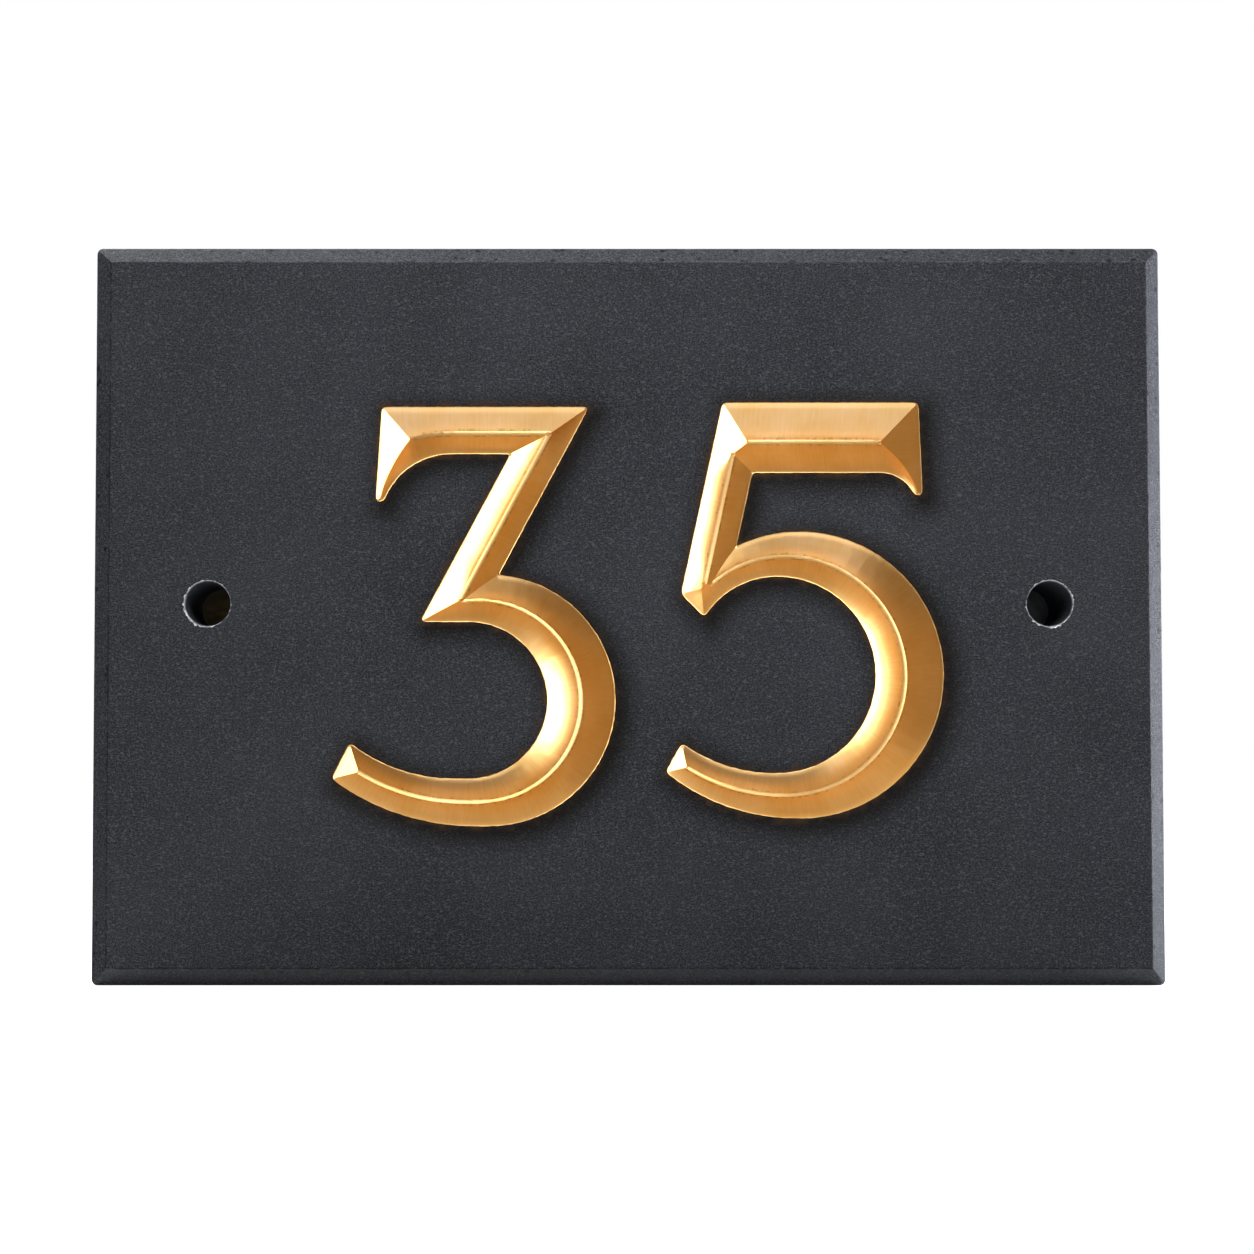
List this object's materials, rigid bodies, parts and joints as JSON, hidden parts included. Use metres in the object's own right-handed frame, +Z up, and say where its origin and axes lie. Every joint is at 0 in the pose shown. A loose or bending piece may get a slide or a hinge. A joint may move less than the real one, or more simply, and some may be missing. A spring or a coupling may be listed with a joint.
{
  "type": "house number plaque",
  "caption": "Upright slate plaque with bevelled front edges, a V-cut gilded house number and a plain fixing hole near each side.",
  "frame": {"origin": "centre of the back, in the plane of the wall", "axes": "+X along the width, to the right of someone who reads the number; +Y out of the back, into the wall; +Z up"},
  "size_m": [0.146, 0.012, 0.101],
  "materials": {
    "slate": "honed",
    "gilding": "burnished gold leaf"
  },
  "bodies": {
    "root": {"slate_tablet": "slate", "gilding_three": "gilding", "gilding_five": "gilding"}
  },
  "joints": []
}
